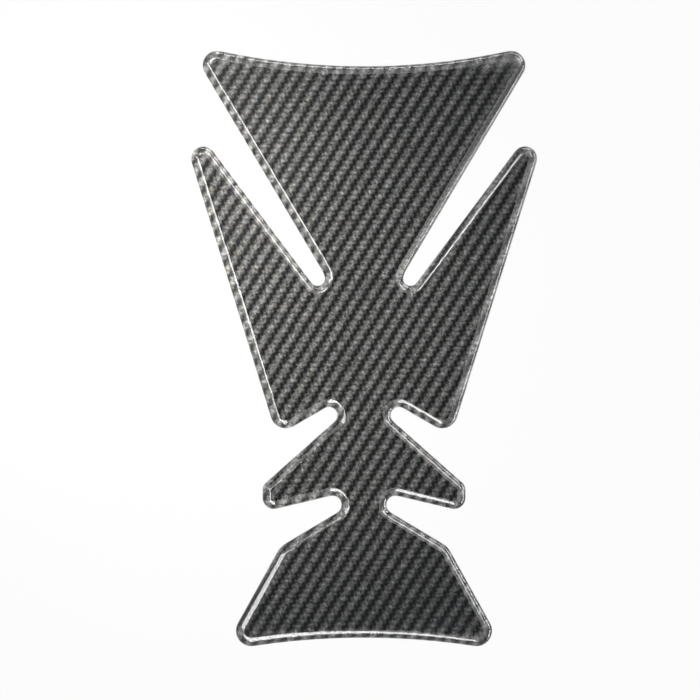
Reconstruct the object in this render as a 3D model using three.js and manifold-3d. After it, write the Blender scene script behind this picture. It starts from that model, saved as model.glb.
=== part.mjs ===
// A stick-on tank pad for a motorcycle, in millimetres. It lies flat on its adhesive at Z = 0 with the
// clear dome up. X runs across the pad, Y from its narrow base to its wide top, and it is alike on both
// sides of X = 0. From the bottom up it is a coat of adhesive, a grey vinyl film, a dark twill print
// whose gaps show the film as the light ribs of the weave, and a poured dome of clear resin.
import * as THREE from "three";
import { mergeVertices } from "three/addons/utils/BufferGeometryUtils.js";
import Module from "manifold-3d";

const wasm = await Module();
wasm.setup();

// Layers, from the bottom up
const ADHESIVE_THICKNESS = 0.1;
const FILM_THICKNESS = 0.2;
const PRINT_THICKNESS = 0.1;
const DOME_HEIGHT = 2;

// The dome's rounded shoulder along the cut edge. Its rings crowd towards the edge, where it is steep.
const SHOULDER_WIDTH = 3.2;
const SHOULDER_ROUNDNESS = 2.2;
const EDGE_STEEPNESS = 1.35;
const SHOULDER_RINGS = 7;
const RING_CROWDING = 1.5;

// The arched edges at both ends, by their radius
const BOTTOM_ARCH_RADIUS = 266;
const TOP_ARCH_RADIUS = 250;

// Rounds of the outline's right half, from the base up: how far from the middle line each centre lies,
// how far it lies above the round before it, and its radius. The slot's end widens in two rounds, and
// the second one is placed from the first.
const FOOT_OUT = 40.6;
const FOOT_RADIUS = 5.6;
const HIP_OUT = 24.1;
const HIP_RISE = 24.4;
const HIP_RADIUS = 8.2;
const LOWER_NOTCH_OUT = 11.4;
const LOWER_NOTCH_RISE = 21;
const LOWER_NOTCH_RADIUS = 3.3;
const SPIKE_OUT = 32.5;
const SPIKE_RISE = 2.6;
const SPIKE_UNDER_RADIUS = 4.1;
const SPIKE_TIP_LENGTH = 2.8;
const SPIKE_UPPER_RADIUS = 3.45;
const UPPER_NOTCH_OUT = 12.6;
const UPPER_NOTCH_RISE = 26.9;
const UPPER_NOTCH_RADIUS = 3;
const WING_HEEL_OUT = 28.2;
const WING_HEEL_RISE = 0.9;
const WING_HEEL_RADIUS = 5.6;
const SLOT_END_OUT = 16.8;
const SLOT_END_RISE = 48.5;
const SLOT_END_RADIUS = 2.7;
const SLOT_BEND_SHIFT = 1.85;
const SLOT_BEND_RISE = 1;
const SLOT_BEND_RADIUS = 4;
const WING_TIP_OUT = 58;
const WING_TIP_RISE = 43.2;
const WING_TIP_RADIUS = 4.4;
const TOP_MIDDLE_RISE = 76.5;
const TOP_CORNER_OUT = 53;
const TOP_CORNER_RADIUS = 5.2;

// The twill: dark ribs and light ones between them, leaning to the right, in a plain dark border. The
// offset is how far the middle light rib lies to the right of the pad's middle, square to the rib.
const RIB_PITCH = 4.08;
const LIGHT_RIB_WIDTH = 2.4;
const RIB_LEAN = THREE.MathUtils.degToRad(58);
const RIB_OFFSET = 0.36;
const PRINT_BORDER = 0.8;

// How finely round stretches are cut, and how much of a round's radius an inset leaves
const CHORD_ERROR = 0.025;
const LEAST_ROUND = 0.2;
const SAME_POINT = 0.002;
const CUT_OVERSHOOT = 1;

const CLEAR_RESIN = new THREE.MeshStandardMaterial({
  name: "clear_resin",
  color: 0xf3f6f6,
  roughness: 0.06,
  metalness: 0,
  transparent: true,
  opacity: 0.3,
});
const DARK_INK = new THREE.MeshStandardMaterial({
  name: "dark_ink",
  color: 0x1f2122,
  roughness: 0.5,
  metalness: 0,
});
const GREY_VINYL = new THREE.MeshStandardMaterial({
  name: "grey_vinyl",
  color: 0x75777a,
  roughness: 0.5,
  metalness: 0,
});
const ADHESIVE = new THREE.MeshStandardMaterial({
  name: "adhesive",
  color: 0xc9c7c0,
  roughness: 0.7,
  metalness: 0,
});

// A round that the outline bends around, with its turn positive where the pad bulges and negative
// where it is notched.
function bulge(x, y, radius) {
  return { x, y, turn: radius };
}

function notch(x, y, radius) {
  return { x, y, turn: -radius };
}

// The outline's right half from the middle of the bottom edge, at Y = 0, to the middle of the top edge.
function rightHalf() {
  const bottomArch = notch(0, -BOTTOM_ARCH_RADIUS, BOTTOM_ARCH_RADIUS);
  const footReach = BOTTOM_ARCH_RADIUS + FOOT_RADIUS;
  const footY = bottomArch.y + Math.sqrt(footReach ** 2 - FOOT_OUT ** 2);
  const hipY = footY + HIP_RISE;
  const lowerNotchY = hipY + LOWER_NOTCH_RISE;
  const spikeY = lowerNotchY + SPIKE_RISE;
  const spikeTopY = spikeY + SPIKE_TIP_LENGTH;
  const upperNotchY = spikeTopY + UPPER_NOTCH_RISE;
  const wingHeelY = upperNotchY + WING_HEEL_RISE;
  const slotEndY = wingHeelY + SLOT_END_RISE;
  const slotBendY = slotEndY + SLOT_BEND_RISE;
  const wingTipY = slotEndY + WING_TIP_RISE;
  const topArch = notch(0, slotEndY + TOP_MIDDLE_RISE + TOP_ARCH_RADIUS, TOP_ARCH_RADIUS);
  const topReach = TOP_ARCH_RADIUS + TOP_CORNER_RADIUS;
  const topCornerY = topArch.y - Math.sqrt(topReach ** 2 - TOP_CORNER_OUT ** 2);
  const spikeTopOut = SPIKE_OUT + SPIKE_UNDER_RADIUS - SPIKE_UPPER_RADIUS;
  return [
    bottomArch,
    bulge(FOOT_OUT, footY, FOOT_RADIUS),
    bulge(HIP_OUT, hipY, HIP_RADIUS),
    notch(LOWER_NOTCH_OUT, lowerNotchY, LOWER_NOTCH_RADIUS),
    bulge(SPIKE_OUT, spikeY, SPIKE_UNDER_RADIUS),
    bulge(spikeTopOut, spikeTopY, SPIKE_UPPER_RADIUS),
    notch(UPPER_NOTCH_OUT, upperNotchY, UPPER_NOTCH_RADIUS),
    bulge(WING_HEEL_OUT, wingHeelY, WING_HEEL_RADIUS),
    bulge(WING_TIP_OUT, wingTipY, WING_TIP_RADIUS),
    notch(SLOT_END_OUT, slotEndY, SLOT_END_RADIUS),
    notch(SLOT_END_OUT + SLOT_BEND_SHIFT, slotBendY, SLOT_BEND_RADIUS),
    bulge(TOP_CORNER_OUT, topCornerY, TOP_CORNER_RADIUS),
    topArch,
  ];
}

function allRounds() {
  const right = rightHalf();
  const left = right.slice(1, -1).reverse();
  return [...right, ...left.map((round) => ({ ...round, x: -round.x }))];
}

// The heading of the straight line that touches one round and then the next.
function headingBetween(from, to) {
  const across = to.x - from.x;
  const along = to.y - from.y;
  const sine = (to.turn - from.turn) / Math.hypot(across, along);
  return Math.atan2(along, across) - Math.asin(THREE.MathUtils.clamp(sine, -1, 1));
}

// Points of the closed outline, anticlockwise. Each has its outward direction, and how far it can
// move inwards before the round that it lies on closes up.
function traceOutline() {
  const rounds = allRounds();
  const points = [];
  rounds.forEach((round, index) => {
    const before = rounds.at(index - 1);
    const after = rounds[(index + 1) % rounds.length];
    const start = headingBetween(before, round);
    const turned = headingBetween(round, after) - start;
    const sweep = Math.atan2(Math.sin(turned), Math.cos(turned));
    const radius = Math.abs(round.turn);
    const steps = Math.ceil(Math.abs(sweep) / (2 * Math.acos(1 - CHORD_ERROR / radius)));
    const room = round.turn > 0 ? radius - LEAST_ROUND : Infinity;
    for (let step = 0; step <= steps; step += 1) {
      const heading = start + (sweep * step) / Math.max(steps, 1);
      const out = new THREE.Vector2(Math.sin(heading), -Math.cos(heading));
      const at = out.clone().multiplyScalar(round.turn);
      at.add(round);
      const last = points.at(-1);
      if (!last || last.at.distanceTo(at) > SAME_POINT) {
        points.push({ at, out, room });
      }
    }
  });
  return centred(points);
}

// Moves the outline's middle height to Y = 0.
function centred(points) {
  const heights = points.map((point) => point.at.y);
  const middle = (Math.min(...heights) + Math.max(...heights)) / 2;
  points.forEach((point) => {
    point.at.y -= middle;
  });
  return points;
}

const OUTLINE = traceOutline();

// The outline moved inwards by a distance, or by as much of it as its rounds allow.
function insetOutline(distance) {
  return OUTLINE.map(({ at, out, room }) => at.clone().addScaledVector(out, -Math.min(distance, room)));
}

// A flat sheet with the given outline, from one height to another.
function sheet(contour, bottom, top) {
  const geometry = new THREE.ExtrudeGeometry(new THREE.Shape(contour), {
    depth: top - bottom,
    bevelEnabled: false,
  });
  return geometry.translate(0, 0, bottom);
}

function toSolid(geometry) {
  geometry.deleteAttribute("normal");
  geometry.deleteAttribute("uv");
  const merged = mergeVertices(geometry);
  return new wasm.Manifold(
    new wasm.Mesh({
      numProp: 3,
      vertProperties: new Float32Array(merged.attributes.position.array),
      triVerts: new Uint32Array(merged.index.array),
    }),
  );
}

function toGeometry(solid) {
  const { vertProperties, triVerts } = solid.getMesh();
  const geometry = new THREE.BufferGeometry();
  geometry.setAttribute("position", new THREE.BufferAttribute(vertProperties, 3));
  geometry.setIndex(new THREE.BufferAttribute(triVerts, 1));
  geometry.computeVertexNormals();
  return geometry;
}

// The dark print: a sheet with a straight gap for each light rib, kept whole by its border.
function printGeometry(bottom, top) {
  const middle = (bottom + top) / 2;
  const cutDepth = top - bottom + 2 * CUT_OVERSHOOT;
  const inside = toSolid(sheet(insetOutline(PRINT_BORDER), middle - cutDepth / 2, middle + cutDepth / 2));
  const reach = Math.max(...OUTLINE.map(({ at }) => at.length()));
  const lastRib = Math.ceil(reach / RIB_PITCH);
  let print = toSolid(sheet(insetOutline(0), bottom, top));
  for (let rib = -lastRib; rib <= lastRib; rib += 1) {
    const gap = new THREE.BoxGeometry(2 * reach, LIGHT_RIB_WIDTH, cutDepth);
    gap.translate(0, rib * RIB_PITCH - RIB_OFFSET, middle);
    gap.rotateZ(RIB_LEAN);
    print = print.subtract(inside.intersect(toSolid(gap)));
  }
  return toGeometry(print);
}

// Height of the dome above its foot, at a share of the shoulder's width in from the edge.
function shoulderHeight(share) {
  return DOME_HEIGHT * (1 - (1 - share) ** SHOULDER_ROUNDNESS) ** (1 / EDGE_STEEPNESS);
}

// The resin dome: rings that climb from the cut edge over the rounded shoulder to the flat top.
function domeGeometry(foot) {
  const count = OUTLINE.length;
  const rings = [];
  for (let ring = 0; ring <= SHOULDER_RINGS; ring += 1) {
    const share = (ring / SHOULDER_RINGS) ** RING_CROWDING;
    const height = foot + shoulderHeight(share);
    rings.push(...insetOutline(share * SHOULDER_WIDTH).map(({ x, y }) => [x, y, height]));
  }
  const faces = [];
  for (let ring = 0; ring < SHOULDER_RINGS; ring += 1) {
    for (let index = 0; index < count; index += 1) {
      const next = (index + 1) % count;
      const low = ring * count;
      const high = low + count;
      faces.push(low + index, low + next, high + next);
      faces.push(low + index, high + next, high + index);
    }
  }
  const topStart = SHOULDER_RINGS * count;
  for (const [a, b, c] of THREE.ShapeUtils.triangulateShape(insetOutline(0), [])) {
    faces.push(c, b, a);
  }
  for (const [a, b, c] of THREE.ShapeUtils.triangulateShape(insetOutline(SHOULDER_WIDTH), [])) {
    faces.push(topStart + a, topStart + b, topStart + c);
  }
  const geometry = new THREE.BufferGeometry();
  geometry.setAttribute("position", new THREE.Float32BufferAttribute(rings.flat(), 3));
  geometry.setIndex(faces);
  geometry.computeVertexNormals();
  return geometry;
}

function piece(name, geometry, material) {
  const mesh = new THREE.Mesh(geometry, material);
  mesh.name = name;
  return mesh;
}

const filmBottom = ADHESIVE_THICKNESS;
const printBottom = filmBottom + FILM_THICKNESS;
const domeBottom = printBottom + PRINT_THICKNESS;

const tankPad = new THREE.Group();
tankPad.name = "tank_pad";
tankPad.add(
  piece("adhesive_layer", sheet(insetOutline(0), 0, filmBottom), ADHESIVE),
  piece("vinyl_film", sheet(insetOutline(0), filmBottom, printBottom), GREY_VINYL),
  piece("carbon_print", printGeometry(printBottom, domeBottom), DARK_INK),
  piece("clear_dome", domeGeometry(domeBottom), CLEAR_RESIN),
);

export default tankPad;
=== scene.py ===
"""Looks of the motorcycle tank pad: a twill print under a poured dome of clear resin, on its film
and adhesive, seen from straight above on a pale floor."""

import math

import bpy
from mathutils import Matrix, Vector
from mathutils.geometry import tessellate_polygon


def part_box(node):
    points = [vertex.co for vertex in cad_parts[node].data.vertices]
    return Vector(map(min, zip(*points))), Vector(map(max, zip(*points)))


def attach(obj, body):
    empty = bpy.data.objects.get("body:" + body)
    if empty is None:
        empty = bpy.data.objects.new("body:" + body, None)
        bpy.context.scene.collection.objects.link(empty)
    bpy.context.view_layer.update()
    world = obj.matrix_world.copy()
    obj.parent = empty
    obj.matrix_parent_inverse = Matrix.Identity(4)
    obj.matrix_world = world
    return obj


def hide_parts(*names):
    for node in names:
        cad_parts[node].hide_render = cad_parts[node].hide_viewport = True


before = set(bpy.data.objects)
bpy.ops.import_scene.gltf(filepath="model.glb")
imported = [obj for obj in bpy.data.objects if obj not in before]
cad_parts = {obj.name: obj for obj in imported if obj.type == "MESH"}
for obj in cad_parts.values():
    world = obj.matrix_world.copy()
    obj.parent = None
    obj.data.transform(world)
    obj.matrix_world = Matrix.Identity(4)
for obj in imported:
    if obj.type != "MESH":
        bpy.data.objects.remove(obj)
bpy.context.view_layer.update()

MM = 0.001
FULL_TURN = 2 * math.pi

# Heights of the layers, from the frame
PRINT_BOTTOM, PRINT_TOP = (corner.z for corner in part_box("carbon_print"))
DOME_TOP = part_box("clear_dome")[1].z

# The dome's shoulder along the cut edge, as in the CAD dome but with finer rings
SHOULDER_WIDTH = 3.2 * MM
SHOULDER_ROUNDNESS = 2.2
EDGE_STEEPNESS = 1.35
SHOULDER_RINGS = 22
RING_CROWDING = 1.8
LAST_RING = 0.95
# The dome's foot reaches into the print, inside its cut edge, so that no air lies between them
FOOT_DEPTH = 0.05 * MM
FOOT_INSET = 0.06 * MM

# How finely the outline is cut, and how far it stays inside the frame's outline
TURN_STEP = math.radians(3)
LENGTH_STEP = 3 * MM
OUTLINE_INSET = 0.02 * MM
# Where one side of a corner is this many times longer, it is straight and gives the heading
STRAIGHT_SHARE = 2

# The twill print: the size of one float across and along, the tilt of its columns, where its rows
# start, and how far right of the rows' start the middle of a light band lies, in floats
FLOAT_WIDTH = 1.2345 * MM
FLOAT_LENGTH = 1.805 * MM
WEAVE_TILT = math.radians(2.4)
ROW_START = 0.237
BAND_START = 0.537
TWILL_REPEAT = 4
# How sharply the bands step between rows. Their half width, how much it grows in the middle of a
# row, and how far their sides fade are in floats.
STEP_SHARPNESS = 0.72
BAND_HALF_WIDTH = 1.04
BAND_SWELL = 0.17
BAND_SOFTNESS = 0.8
# The share of light that the dark bands and the light bands give back, what the spot in a float's
# middle adds, and how fast that spot fades sideways
DARK_BRIGHTNESS = 0.011
BAND_BRIGHTNESS = 0.128
SPOT_BRIGHTNESS = 0.065
SPOT_FADE = 1.4
# How far a float's own brightness may lie from the others
FLOAT_VARIATION = 0.16
WARM_TINT = (1.08, 1.0, 0.91, 1)
COOL_TINT = (0.96, 1.0, 1.04, 1)
# Rows pair up a little: how strongly, and where the pairs lie, in turns
PAIR_STRENGTH = 0.145
PAIR_PHASE = -0.41
# The sides of neighbouring floats show as a ripple three times finer than the bands. It is added to
# the brightness as it is seen, which is the share of light to the power of 1 / SEEN_POWER.
RIPPLE_STRENGTH = 0.038
SEEN_POWER = 2.2
# Painted light: the print's colour is painted brighter near the cut edge, in place of the light
# that enters through the dome's side. How much is a guess, and so is how far in from the edge it
# holds, and then ends.
RIM_PAINTED_LIGHT = 0.7
RIM_HOLD = 1.7 * MM
RIM_END = 2.9 * MM

# What the resin lets through, as light for the print
RESIN_TINT = (0.97, 0.98, 0.98, 1)

CAMERA_PLACE = (-5.05 * MM, -0.53 * MM, 701.8 * MM)
CAMERA_LENS = 100
FLOOR_REACH = 6
FLOOR_DEPTH = 0.05 * MM
FLOOR_COLOUR = (0.9, 0.9, 0.9, 1)
# The share of plain white where the floor is seen, straight or by mirrored or refracted rays
FLOOR_WHITE = 0.96

# Lamps and panels: heights and distances in metres
LAMP_HEIGHT = 2.5
SLOT_LAMP_HEIGHT = 1
WALL_DISTANCE = 8
WALL_ZENITH = 40
LOW_PANEL_ZENITH = 85
SPOT_HEIGHT = 1.5
SPOT_SIZE = 0.02
SPOT_COLOUR = (1, 0.97, 0.91)

# The world is white up to one height of the direction, and has its overhead colour from another
WHITE_TO = 0.1
OVERHEAD_FROM = 0.6
OVERHEAD_COLOUR = (0.265, 0.28, 0.295, 1)
GLOW_DIRECTION = (-0.14, 0.13)
GLOW_ANGLE = math.radians(9)
GLOW_STRENGTH = 0.5


def area(points):
    pairs = zip(points, points[1:] + points[:1])
    return sum(a.x * b.y - b.x * a.y for a, b in pairs) / 2


def frame_outline(node):
    """The corners of a flat CAD node's outline at its foot, anticlockwise."""
    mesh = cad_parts[node].data
    low = min(vertex.co.z for vertex in mesh.vertices)
    sides = set()
    for polygon in mesh.polygons:
        corners = [mesh.vertices[index].co for index in polygon.vertices]
        if max(corner.z for corner in corners) < low + 0.01 * MM:
            keys = [(round(corner.x, 7), round(corner.y, 7)) for corner in corners]
            sides.update(zip(keys, keys[1:] + keys[:1]))
    following = dict(side for side in sides if side[::-1] not in sides)
    keys = [min(following)]
    while following[keys[-1]] != keys[0]:
        keys.append(following[keys[-1]])
    points = [Vector(key) for key in keys]
    return points if area(points) > 0 else points[::-1]


def corner_heading(before, after):
    """The outline's heading at a corner, from its sides before and after it."""
    if before.length > STRAIGHT_SHARE * after.length:
        return before.normalized()
    if after.length > STRAIGHT_SHARE * before.length:
        return after.normalized()
    return (before + after).normalized()


def smooth_outline(corners):
    """The outline with its round stretches cut finely: a list of places and outward directions."""
    count = len(corners)
    sides = [corners[(index + 1) % count] - corners[index] for index in range(count)]
    headings = [corner_heading(sides[index - 1], sides[index]) for index in range(count)]
    points = []
    for index, side in enumerate(sides):
        start, end = headings[index], headings[(index + 1) % count]
        pull = side.length
        turn = start.angle(end)
        steps = max(math.ceil(turn / TURN_STEP), math.ceil(side.length / LENGTH_STEP))
        for step in range(steps):
            t = step / steps
            place = corners[index] + side * (3 * t**2 - 2 * t**3)
            place += start * pull * (t - 2 * t**2 + t**3) + end * pull * (t**3 - t**2)
            heading = side * (6 * t - 6 * t**2)
            heading += start * pull * (1 - 4 * t + 3 * t**2) + end * pull * (3 * t**2 - 2 * t)
            heading.normalize()
            points.append((place, Vector((heading.y, -heading.x))))
    return points


def ring(outline, inset, height):
    """The outline moved inwards, at a height."""
    inset += OUTLINE_INSET
    return [(*(place - out * inset), height) for place, out in outline]


def stacked_rings(name, rings):
    """A closed mesh from rings that run from its foot to its top, with a flat face on both ends."""
    count = len(rings[0])
    faces = []
    for low in range(0, (len(rings) - 1) * count, count):
        for index in range(count):
            next_index = (index + 1) % count
            faces.append(
                (low + index, low + next_index, low + count + next_index, low + count + index)
            )
    top = (len(rings) - 1) * count
    side_faces = len(faces)
    for triangle in flat_triangles(rings[0]):
        faces.append(triangle[::-1])
    for triangle in flat_triangles(rings[-1]):
        faces.append([top + index for index in triangle])
    mesh = bpy.data.meshes.new(name)
    mesh.from_pydata([corner for level in rings for corner in level], [], faces)
    mesh.update()
    piece = bpy.data.objects.new(name, mesh)
    bpy.context.scene.collection.objects.link(piece)
    return piece, side_faces


def flat_triangles(corners):
    """Triangles that fill a flat ring of corners, facing up."""
    flat = [Vector((x, y, 0)) for x, y, _ in corners]
    triangles = []
    for a, b, c in tessellate_polygon([flat]):
        facing = (flat[b] - flat[a]).cross(flat[c] - flat[a]).z
        triangles.append((a, b, c) if facing > 0 else (a, c, b))
    return triangles


def shoulder_height(share):
    """The dome's height above its foot, at a share of the shoulder's width in from the edge."""
    rise = (1 - (1 - share) ** SHOULDER_ROUNDNESS) ** (1 / EDGE_STEEPNESS)
    return (DOME_TOP - PRINT_TOP) * rise


def make_print(outline):
    """The printed sheet. Its points say how much painted rim light they get: a brightening painted
    into the print's colour near the cut edge.
    """
    levels = [ring(outline, 0, PRINT_BOTTOM)]
    levels += [ring(outline, inset, PRINT_TOP) for inset in (0, RIM_HOLD, RIM_END)]
    piece, _ = stacked_rings("twill_print", levels)
    glow = piece.data.attributes.new("painted_rim_light", "FLOAT", "POINT")
    glow.data.foreach_set("value", [share for share in (1, 1, 1, 0) for _ in outline])
    return piece


def make_dome(outline):
    """The resin dome, smooth over its shoulder and flat on top."""
    levels = [
        ring(outline, FOOT_INSET, PRINT_TOP - FOOT_DEPTH),
        ring(outline, FOOT_INSET, PRINT_TOP - FOOT_DEPTH / 2),
    ]
    for step in range(SHOULDER_RINGS + 1):
        share = LAST_RING * (step / SHOULDER_RINGS) ** RING_CROWDING
        height = PRINT_TOP + shoulder_height(share)
        levels.append(ring(outline, share * SHOULDER_WIDTH, height))
    levels.append(ring(outline, SHOULDER_WIDTH, DOME_TOP))
    piece, side_faces = stacked_rings("resin_dome", levels)
    foot_faces = 2 * len(outline)
    smooth = [foot_faces <= face < side_faces for face in range(len(piece.data.polygons))]
    piece.data.polygons.foreach_set("use_smooth", smooth)
    return piece


class Recipe:
    """A material's nodes. Each call adds a node and gives it, or its result."""

    def __init__(self, name):
        self.material = bpy.data.materials.new(name)
        self.material.use_nodes = True
        self.tree = self.material.node_tree
        self.tree.nodes.clear()

    def add(self, kind, inputs, **settings):
        node = self.tree.nodes.new(kind)
        for name, value in settings.items():
            setattr(node, name, value)
        for name, value in inputs.items():
            if isinstance(value, bpy.types.NodeSocket):
                self.tree.links.new(value, node.inputs[name])
            else:
                node.inputs[name].default_value = value
        return node

    def math(self, operation, *values):
        return self.add("ShaderNodeMath", dict(enumerate(values)), operation=operation).outputs[0]

    def place(self):
        """The place on the object, in metres."""
        return self.add("ShaderNodeTexCoord", {}).outputs["Object"]

    def grain(self, place, size, low, high, stretch=(1, 1, 1), detail=2):
        """Noise of a grain size in metres, from low to high, stretched along an axis."""
        scaled = self.add(
            "ShaderNodeMapping",
            {"Vector": place, "Scale": [1 / (size * factor) for factor in stretch]},
        ).outputs[0]
        noise = self.add("ShaderNodeTexNoise", {"Vector": scaled, "Scale": 1, "Detail": detail})
        return self.spread(noise.outputs[0], 0.3, 0.7, low, high)

    def spread(self, value, from_low, from_high, low, high, shape="LINEAR"):
        """A value moved from one range to another and kept inside it."""
        inputs = {"Value": value, "From Min": from_low, "From Max": from_high}
        inputs.update({"To Min": low, "To Max": high})
        return self.add("ShaderNodeMapRange", inputs, interpolation_type=shape).outputs[0]

    def blend(self, share, first, second):
        inputs = {0: share, 6: first, 7: second}
        return self.add("ShaderNodeMix", inputs, data_type="RGBA").outputs[2]

    def tinted(self, colour, brightness):
        """A colour scaled by a brightness."""
        scaled = self.add(
            "ShaderNodeVectorMath", {0: colour, "Scale": brightness}, operation="SCALE"
        )
        return scaled.outputs[0]

    def principled(self, **inputs):
        named = {name.replace("_", " "): value for name, value in inputs.items()}
        return self.add("ShaderNodeBsdfPrincipled", named).outputs[0]

    def finish(self, surface):
        self.add("ShaderNodeOutputMaterial", {"Surface": surface})
        return self.material


def rippled(make, brightness, column, row):
    """A brightness with the ripple of the floats' sides: three for each repeat of columns, and one
    for each repeat of rows."""
    turns = make.math("MULTIPLY_ADD", column, 3, row)
    ripple = make.math("COSINE", make.math("MULTIPLY", turns, FULL_TURN / TWILL_REPEAT))
    seen = make.math("POWER", brightness, 1 / SEEN_POWER)
    seen = make.math("MULTIPLY_ADD", ripple, RIPPLE_STRENGTH, seen)
    return make.math("POWER", seen, SEEN_POWER)


def twill_material():
    """The printed twill: light bands on dark ones, which step up to the right, one float a row."""
    make = Recipe("twill_ink")
    place = make.place()
    turned = make.add(
        "ShaderNodeMapping",
        {
            "Vector": place,
            "Rotation": (0, 0, WEAVE_TILT),
            "Scale": (FLOAT_WIDTH, FLOAT_LENGTH, 1),
        },
        vector_type="TEXTURE",
    )
    grid = make.add("ShaderNodeSeparateXYZ", {0: turned.outputs[0]})
    column = make.math("SUBTRACT", grid.outputs[0], BAND_START)
    row = make.math("SUBTRACT", grid.outputs[1], ROW_START)

    # Each row's band lies one float further right, with a soft step between the rows
    phase = make.math("MULTIPLY", row, FULL_TURN)
    off_row = make.math("WRAP", row, 0.5, -0.5)
    square = make.math("MULTIPLY", off_row, off_row)
    ease = make.math("MULTIPLY", off_row, make.math("MULTIPLY_ADD", square, -4, 1))
    stair = make.math("MULTIPLY_ADD", ease, -STEP_SHARPNESS, row)
    across = make.math("SUBTRACT", column, stair)
    off_middle = make.math("WRAP", across, TWILL_REPEAT / 2, -TWILL_REPEAT / 2)
    swell = make.math("COSINE", phase)
    half_width = make.math("MULTIPLY_ADD", swell, BAND_SWELL, BAND_HALF_WIDTH)
    inside = make.math("SUBTRACT", half_width, make.math("ABSOLUTE", off_middle))
    light = make.spread(inside, -BAND_SOFTNESS, BAND_SOFTNESS, 0, 1, "SMOOTHSTEP")

    # A bright spot in the middle of each float, and a brightness of its own for each float
    row_middle = make.spread(swell, -0.6, 1, 0, 1)
    spread_out = make.math("POWER", make.math("ABSOLUTE", off_middle), 2)
    spot = make.math("EXPONENT", make.math("MULTIPLY", spread_out, -SPOT_FADE))
    spot = make.math("MULTIPLY", spot, row_middle)
    band_number = make.math("ROUND", make.math("DIVIDE", across, TWILL_REPEAT))
    row_number = make.math("ROUND", row)
    float_number = make.add("ShaderNodeCombineXYZ", {0: band_number, 1: row_number})
    own = make.add("ShaderNodeTexWhiteNoise", {"Vector": float_number.outputs[0]})
    own_light = make.spread(own.outputs["Value"], 0, 1, 1 - FLOAT_VARIATION, 1 + FLOAT_VARIATION)

    # Rows that pair up, along the diagonal that crosses the bands
    diagonal = make.math("ADD", grid.outputs[0], grid.outputs[1])
    turn, start = FULL_TURN / TWILL_REPEAT, FULL_TURN * PAIR_PHASE
    pair_wave = make.math("COSINE", make.math("MULTIPLY_ADD", diagonal, turn, start))
    pairs = make.math("MULTIPLY_ADD", pair_wave, PAIR_STRENGTH, 1)

    # Fibres along the floats, fine blotches, and slow warm and cool patches
    fibres = make.grain(place, 0.5 * MM, 0.75, 1.25, (1, 2, 1))
    blotches = make.grain(place, 0.6 * MM, 0.2, 1.8)
    patches = make.grain(place, 1.6 * MM, 0, 1)
    # Painted light: the print's colour is painted brighter near the cut edge
    rim = make.add("ShaderNodeAttribute", {}, attribute_name="painted_rim_light")
    glow = make.math("MULTIPLY_ADD", rim.outputs["Fac"], RIM_PAINTED_LIGHT, 1)
    brightness = make.math("MULTIPLY_ADD", spot, SPOT_BRIGHTNESS, BAND_BRIGHTNESS)
    brightness = make.math("MULTIPLY", brightness, own_light)
    brightness = make.math("MULTIPLY_ADD", brightness, light, DARK_BRIGHTNESS)
    brightness = rippled(make, brightness, column, row)
    for factor in (pairs, fibres, blotches, glow):
        brightness = make.math("MULTIPLY", brightness, factor)
    tint = make.blend(patches, WARM_TINT, COOL_TINT)

    # The print lies under resin, so it has no gloss of its own
    return make.finish(
        make.principled(
            Base_Color=make.tinted(tint, brightness),
            Roughness=make.spread(light, 0, 1, 0.9, 0.7),
            Specular_IOR_Level=0,
        )
    )


def resin_material():
    """Clear resin with the faint waves of a pour. Light for the print passes straight through."""
    make = Recipe("clear_resin_gloss")
    place = make.place()
    waves = make.grain(place, 9 * MM, 0, 1)
    bump = make.add("ShaderNodeBump", {"Height": waves, "Strength": 0.03, "Distance": 0.2 * MM})
    resin = make.principled(
        Base_Color=make.blend(waves, (0.97, 0.98, 0.98, 1), (0.985, 0.985, 0.975, 1)),
        Roughness=make.grain(place, 2 * MM, 0.02, 0.045),
        Transmission_Weight=1,
        IOR=1.5,
        Normal=bump.outputs[0],
    )
    path = make.add("ShaderNodeLightPath", {})
    lighting = make.math("MAXIMUM", path.outputs["Is Shadow Ray"], path.outputs["Is Diffuse Ray"])
    clear = make.add("ShaderNodeBsdfTransparent", {"Color": RESIN_TINT})
    mixed = make.add("ShaderNodeMixShader", {0: lighting, 1: resin, 2: clear.outputs[0]})
    return make.finish(mixed.outputs[0])


def layer_material(name, first, second, grain_size, roughness):
    """A thin sheet's material, between two colours in fine grain, with a slightly uneven face."""
    make = Recipe(name)
    place = make.place()
    grain = make.grain(place, grain_size, 0, 1, detail=4)
    bump = make.add("ShaderNodeBump", {"Height": grain, "Strength": 0.2, "Distance": 0.02 * MM})
    low, high = roughness
    return make.finish(
        make.principled(
            Base_Color=make.blend(grain, first, second),
            Roughness=make.grain(place, 3 * grain_size, low, high),
            Normal=bump.outputs[0],
        )
    )


def floor_material():
    """A pale floor that reads white, and still takes a little of the pad's shadow."""
    make = Recipe("studio_floor")
    path = make.add("ShaderNodeLightPath", {})
    seen = make.math("MAXIMUM", path.outputs["Is Camera Ray"], path.outputs["Is Glossy Ray"])
    seen = make.math("MAXIMUM", seen, path.outputs["Is Transmission Ray"])
    lit = make.add("ShaderNodeBsdfDiffuse", {"Color": FLOOR_COLOUR})
    white = make.add("ShaderNodeEmission", {"Color": (1, 1, 1, 1), "Strength": 1})
    share = make.math("MULTIPLY", seen, FLOOR_WHITE)
    mixed = make.add("ShaderNodeMixShader", {0: share, 1: lit.outputs[0], 2: white.outputs[0]})
    return make.finish(mixed.outputs[0])


def rectangle(half_x, half_y, height):
    """The corners of a flat rectangle round the origin, anticlockwise."""
    sides = [(-half_x, -half_y), (half_x, -half_y), (half_x, half_y), (-half_x, half_y)]
    return [(x, y, height) for x, y in sides]


def make_floor():
    mesh = bpy.data.meshes.new("floor")
    corners = rectangle(FLOOR_REACH, FLOOR_REACH, -FLOOR_DEPTH)
    mesh.from_pydata(corners, [], [(0, 1, 2, 3)])
    floor = bpy.data.objects.new("floor", mesh)
    bpy.context.scene.collection.objects.link(floor)
    mesh.materials.append(floor_material())


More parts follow.
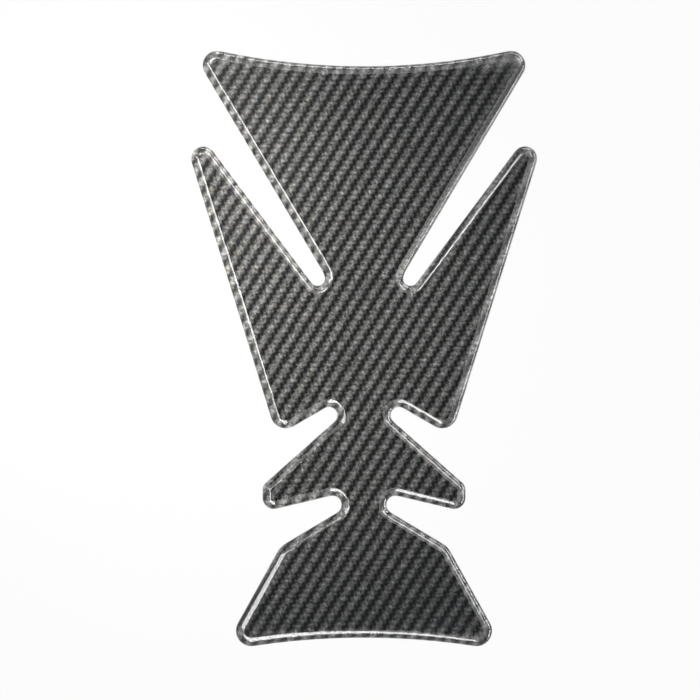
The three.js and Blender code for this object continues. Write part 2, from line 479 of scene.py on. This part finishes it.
def ceiling_lamp(name, start, end, width, radiance, height=LAMP_HEIGHT):
    """A long lamp overhead for the bright lines on the resin, which doesn't light the print. Its
    ends and its width are shares of its height."""
    start, end = Vector(start) * height, Vector(end) * height
    along = end - start
    data = bpy.data.lights.new(name, "AREA")
    data.shape = "RECTANGLE"
    data.size, data.size_y = along.length, width * height
    data.energy = radiance * math.pi * data.size * data.size_y
    lamp = bpy.data.objects.new(name, data)
    lamp.location = (*(start + end) / 2, height)
    lamp.rotation_euler.z = math.atan2(along.y, along.x)
    lamp.visible_camera = False
    lamp.visible_diffuse = False
    bpy.context.scene.collection.objects.link(lamp)


def wall_panel(name, azimuth, zenith, size, low_radiance, high_radiance):
    """A soft panel behind the lamps that shows only in mirrored rays. It faces the pad from an
    azimuth, anticlockwise from +X, and an angle off the zenith. Its size is in shares of its
    distance, and its light grows from its low side to its high side."""
    half_x, half_y = (share * WALL_DISTANCE / 2 for share in size)
    make = Recipe(name)
    height = make.add("ShaderNodeSeparateXYZ", {0: make.place()}).outputs[1]
    radiance = make.spread(height, -half_y, half_y, low_radiance, high_radiance)
    light = make.add("ShaderNodeEmission", {"Color": (1, 1, 1, 1), "Strength": radiance})
    material = make.finish(light.outputs[0])
    material.cycles.emission_sampling = "NONE"
    mesh = bpy.data.meshes.new(name)
    mesh.from_pydata(rectangle(half_x, half_y, 0), [], [(0, 1, 2, 3)])
    mesh.materials.append(material)
    panel = bpy.data.objects.new(name, mesh)
    azimuth, zenith = math.radians(azimuth), math.radians(zenith)
    flat = math.sin(zenith)
    towards = Vector((flat * math.cos(azimuth), flat * math.sin(azimuth), math.cos(zenith)))
    panel.location = towards * WALL_DISTANCE
    panel.rotation_mode = "QUATERNION"
    panel.rotation_quaternion = towards.to_track_quat("Z", "Y")
    for kind in ("camera", "diffuse", "transmission", "volume_scatter", "shadow"):
        setattr(panel, "visible_" + kind, False)
    bpy.context.scene.collection.objects.link(panel)


def light_spot(name, place, reach, strength):
    """A soft-edged spot from above that lights the print and leaves no highlight on the resin."""
    data = bpy.data.lights.new(name, "SPOT")
    data.energy = strength * (FULL_TURN * SPOT_HEIGHT) ** 2
    data.color = SPOT_COLOUR
    data.shadow_soft_size = SPOT_SIZE
    data.spot_size = 2 * math.atan(reach / SPOT_HEIGHT)
    data.spot_blend = 1
    spot = bpy.data.objects.new(name, data)
    spot.location = (*place, SPOT_HEIGHT)
    spot.visible_camera = False
    spot.visible_glossy = False
    spot.visible_transmission = False
    bpy.context.scene.collection.objects.link(spot)


def make_lamps():
    # The print is brightest at its upper left
    light_spot("key", (-0.062, 0.022), 0.141, 0.85)
    light_spot("wing_light", (-0.101, 0.050), 0.103, 1.05)

    # The bright lines on the shoulder
    ceiling_lamp("left_strip", (-0.13, -0.085), (-1.25, 0.42), 0.2, 13)
    ceiling_lamp("slot_strip", (-0.13, 0.33), (-0.40, 0.53), 0.2, 15, SLOT_LAMP_HEIGHT)
    ceiling_lamp("front_strip", (-0.21, -0.24), (-0.036, -1.2), 0.35, 17)
    ceiling_lamp("right_box", (1.30, 0.35), (0.66, 1.15), 0.9, 10)

    # The pale rims at the cut edge, and the pale veil over the shoulder
    wall_panel("low_right", 0, LOW_PANEL_ZENITH, (1.73, 0.24), 16, 16)
    wall_panel("low_back", 72, LOW_PANEL_ZENITH, (1.33, 0.24), 12, 12)
    for name, azimuth in (("right", 0), ("back", 90), ("left", 190), ("front", 270)):
        wall_panel(name, azimuth, WALL_ZENITH, (1.33, 1.2), 1, 3.6)


def make_world():
    """Soft surroundings, white at the horizon and dim overhead, with a glow to the upper left."""
    world = bpy.data.worlds.new("studio")
    world.use_nodes = True
    bpy.context.scene.world = world
    tree = world.node_tree
    direction = tree.nodes.new("ShaderNodeTexCoord").outputs["Generated"]
    split = tree.nodes.new("ShaderNodeSeparateXYZ")
    tree.links.new(direction, split.inputs[0])
    ramp = tree.nodes.new("ShaderNodeValToRGB")
    ramp.color_ramp.elements[0].position = WHITE_TO
    ramp.color_ramp.elements[0].color = (1, 1, 1, 1)
    ramp.color_ramp.elements[1].position = OVERHEAD_FROM
    ramp.color_ramp.elements[1].color = OVERHEAD_COLOUR
    tree.links.new(split.outputs["Z"], ramp.inputs[0])
    facing = tree.nodes.new("ShaderNodeVectorMath")
    facing.operation = "DOT_PRODUCT"
    facing.inputs[1].default_value = Vector((*GLOW_DIRECTION, 1)).normalized()
    tree.links.new(direction, facing.inputs[0])
    glow = tree.nodes.new("ShaderNodeMapRange")
    glow.interpolation_type = "SMOOTHSTEP"
    glow.inputs["From Min"].default_value = math.cos(GLOW_ANGLE)
    glow.inputs["To Max"].default_value = GLOW_STRENGTH
    tree.links.new(facing.outputs["Value"], glow.inputs["Value"])
    total = tree.nodes.new("ShaderNodeVectorMath")
    total.operation = "ADD"
    tree.links.new(ramp.outputs[0], total.inputs[0])
    tree.links.new(glow.outputs[0], total.inputs[1])
    tree.links.new(total.outputs[0], tree.nodes["Background"].inputs["Color"])


def make_camera():
    data = bpy.data.cameras.new("camera")
    data.lens = CAMERA_LENS
    data.sensor_width = 36
    data.clip_start = 0.01
    camera = bpy.data.objects.new("camera", data)
    camera.location = CAMERA_PLACE
    bpy.context.scene.collection.objects.link(camera)
    bpy.context.scene.camera = camera


def dress(piece, material, node):
    """Gives a piece its material and its place on the pad, and hides the CAD node that it stands
    for.
    """
    piece.data.materials.clear()
    piece.data.materials.append(material)
    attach(piece, "root")
    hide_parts(node)


def set_material(node, material):
    """Gives a CAD node that stays as it is a finished material."""
    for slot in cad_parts[node].material_slots:
        slot.material = material


def main():
    scene = bpy.context.scene
    scene.view_settings.view_transform = "Standard"
    scene.cycles.use_denoising = True
    make_camera()
    outline = smooth_outline(frame_outline("adhesive_layer"))
    dress(make_print(outline), twill_material(), "carbon_print")
    dress(make_dome(outline), resin_material(), "clear_dome")
    grey, pale_grey = (0.14, 0.145, 0.15, 1), (0.21, 0.215, 0.22, 1)
    film = layer_material("grey_vinyl_satin", grey, pale_grey, 0.4 * MM, (0.35, 0.55))
    set_material("vinyl_film", film)
    cream, milky = (0.50, 0.47, 0.40, 1), (0.66, 0.64, 0.58, 1)
    adhesive = layer_material("adhesive_back", cream, milky, 2.5 * MM, (0.55, 0.8))
    set_material("adhesive_layer", adhesive)
    make_floor()
    make_lamps()
    make_world()


main()
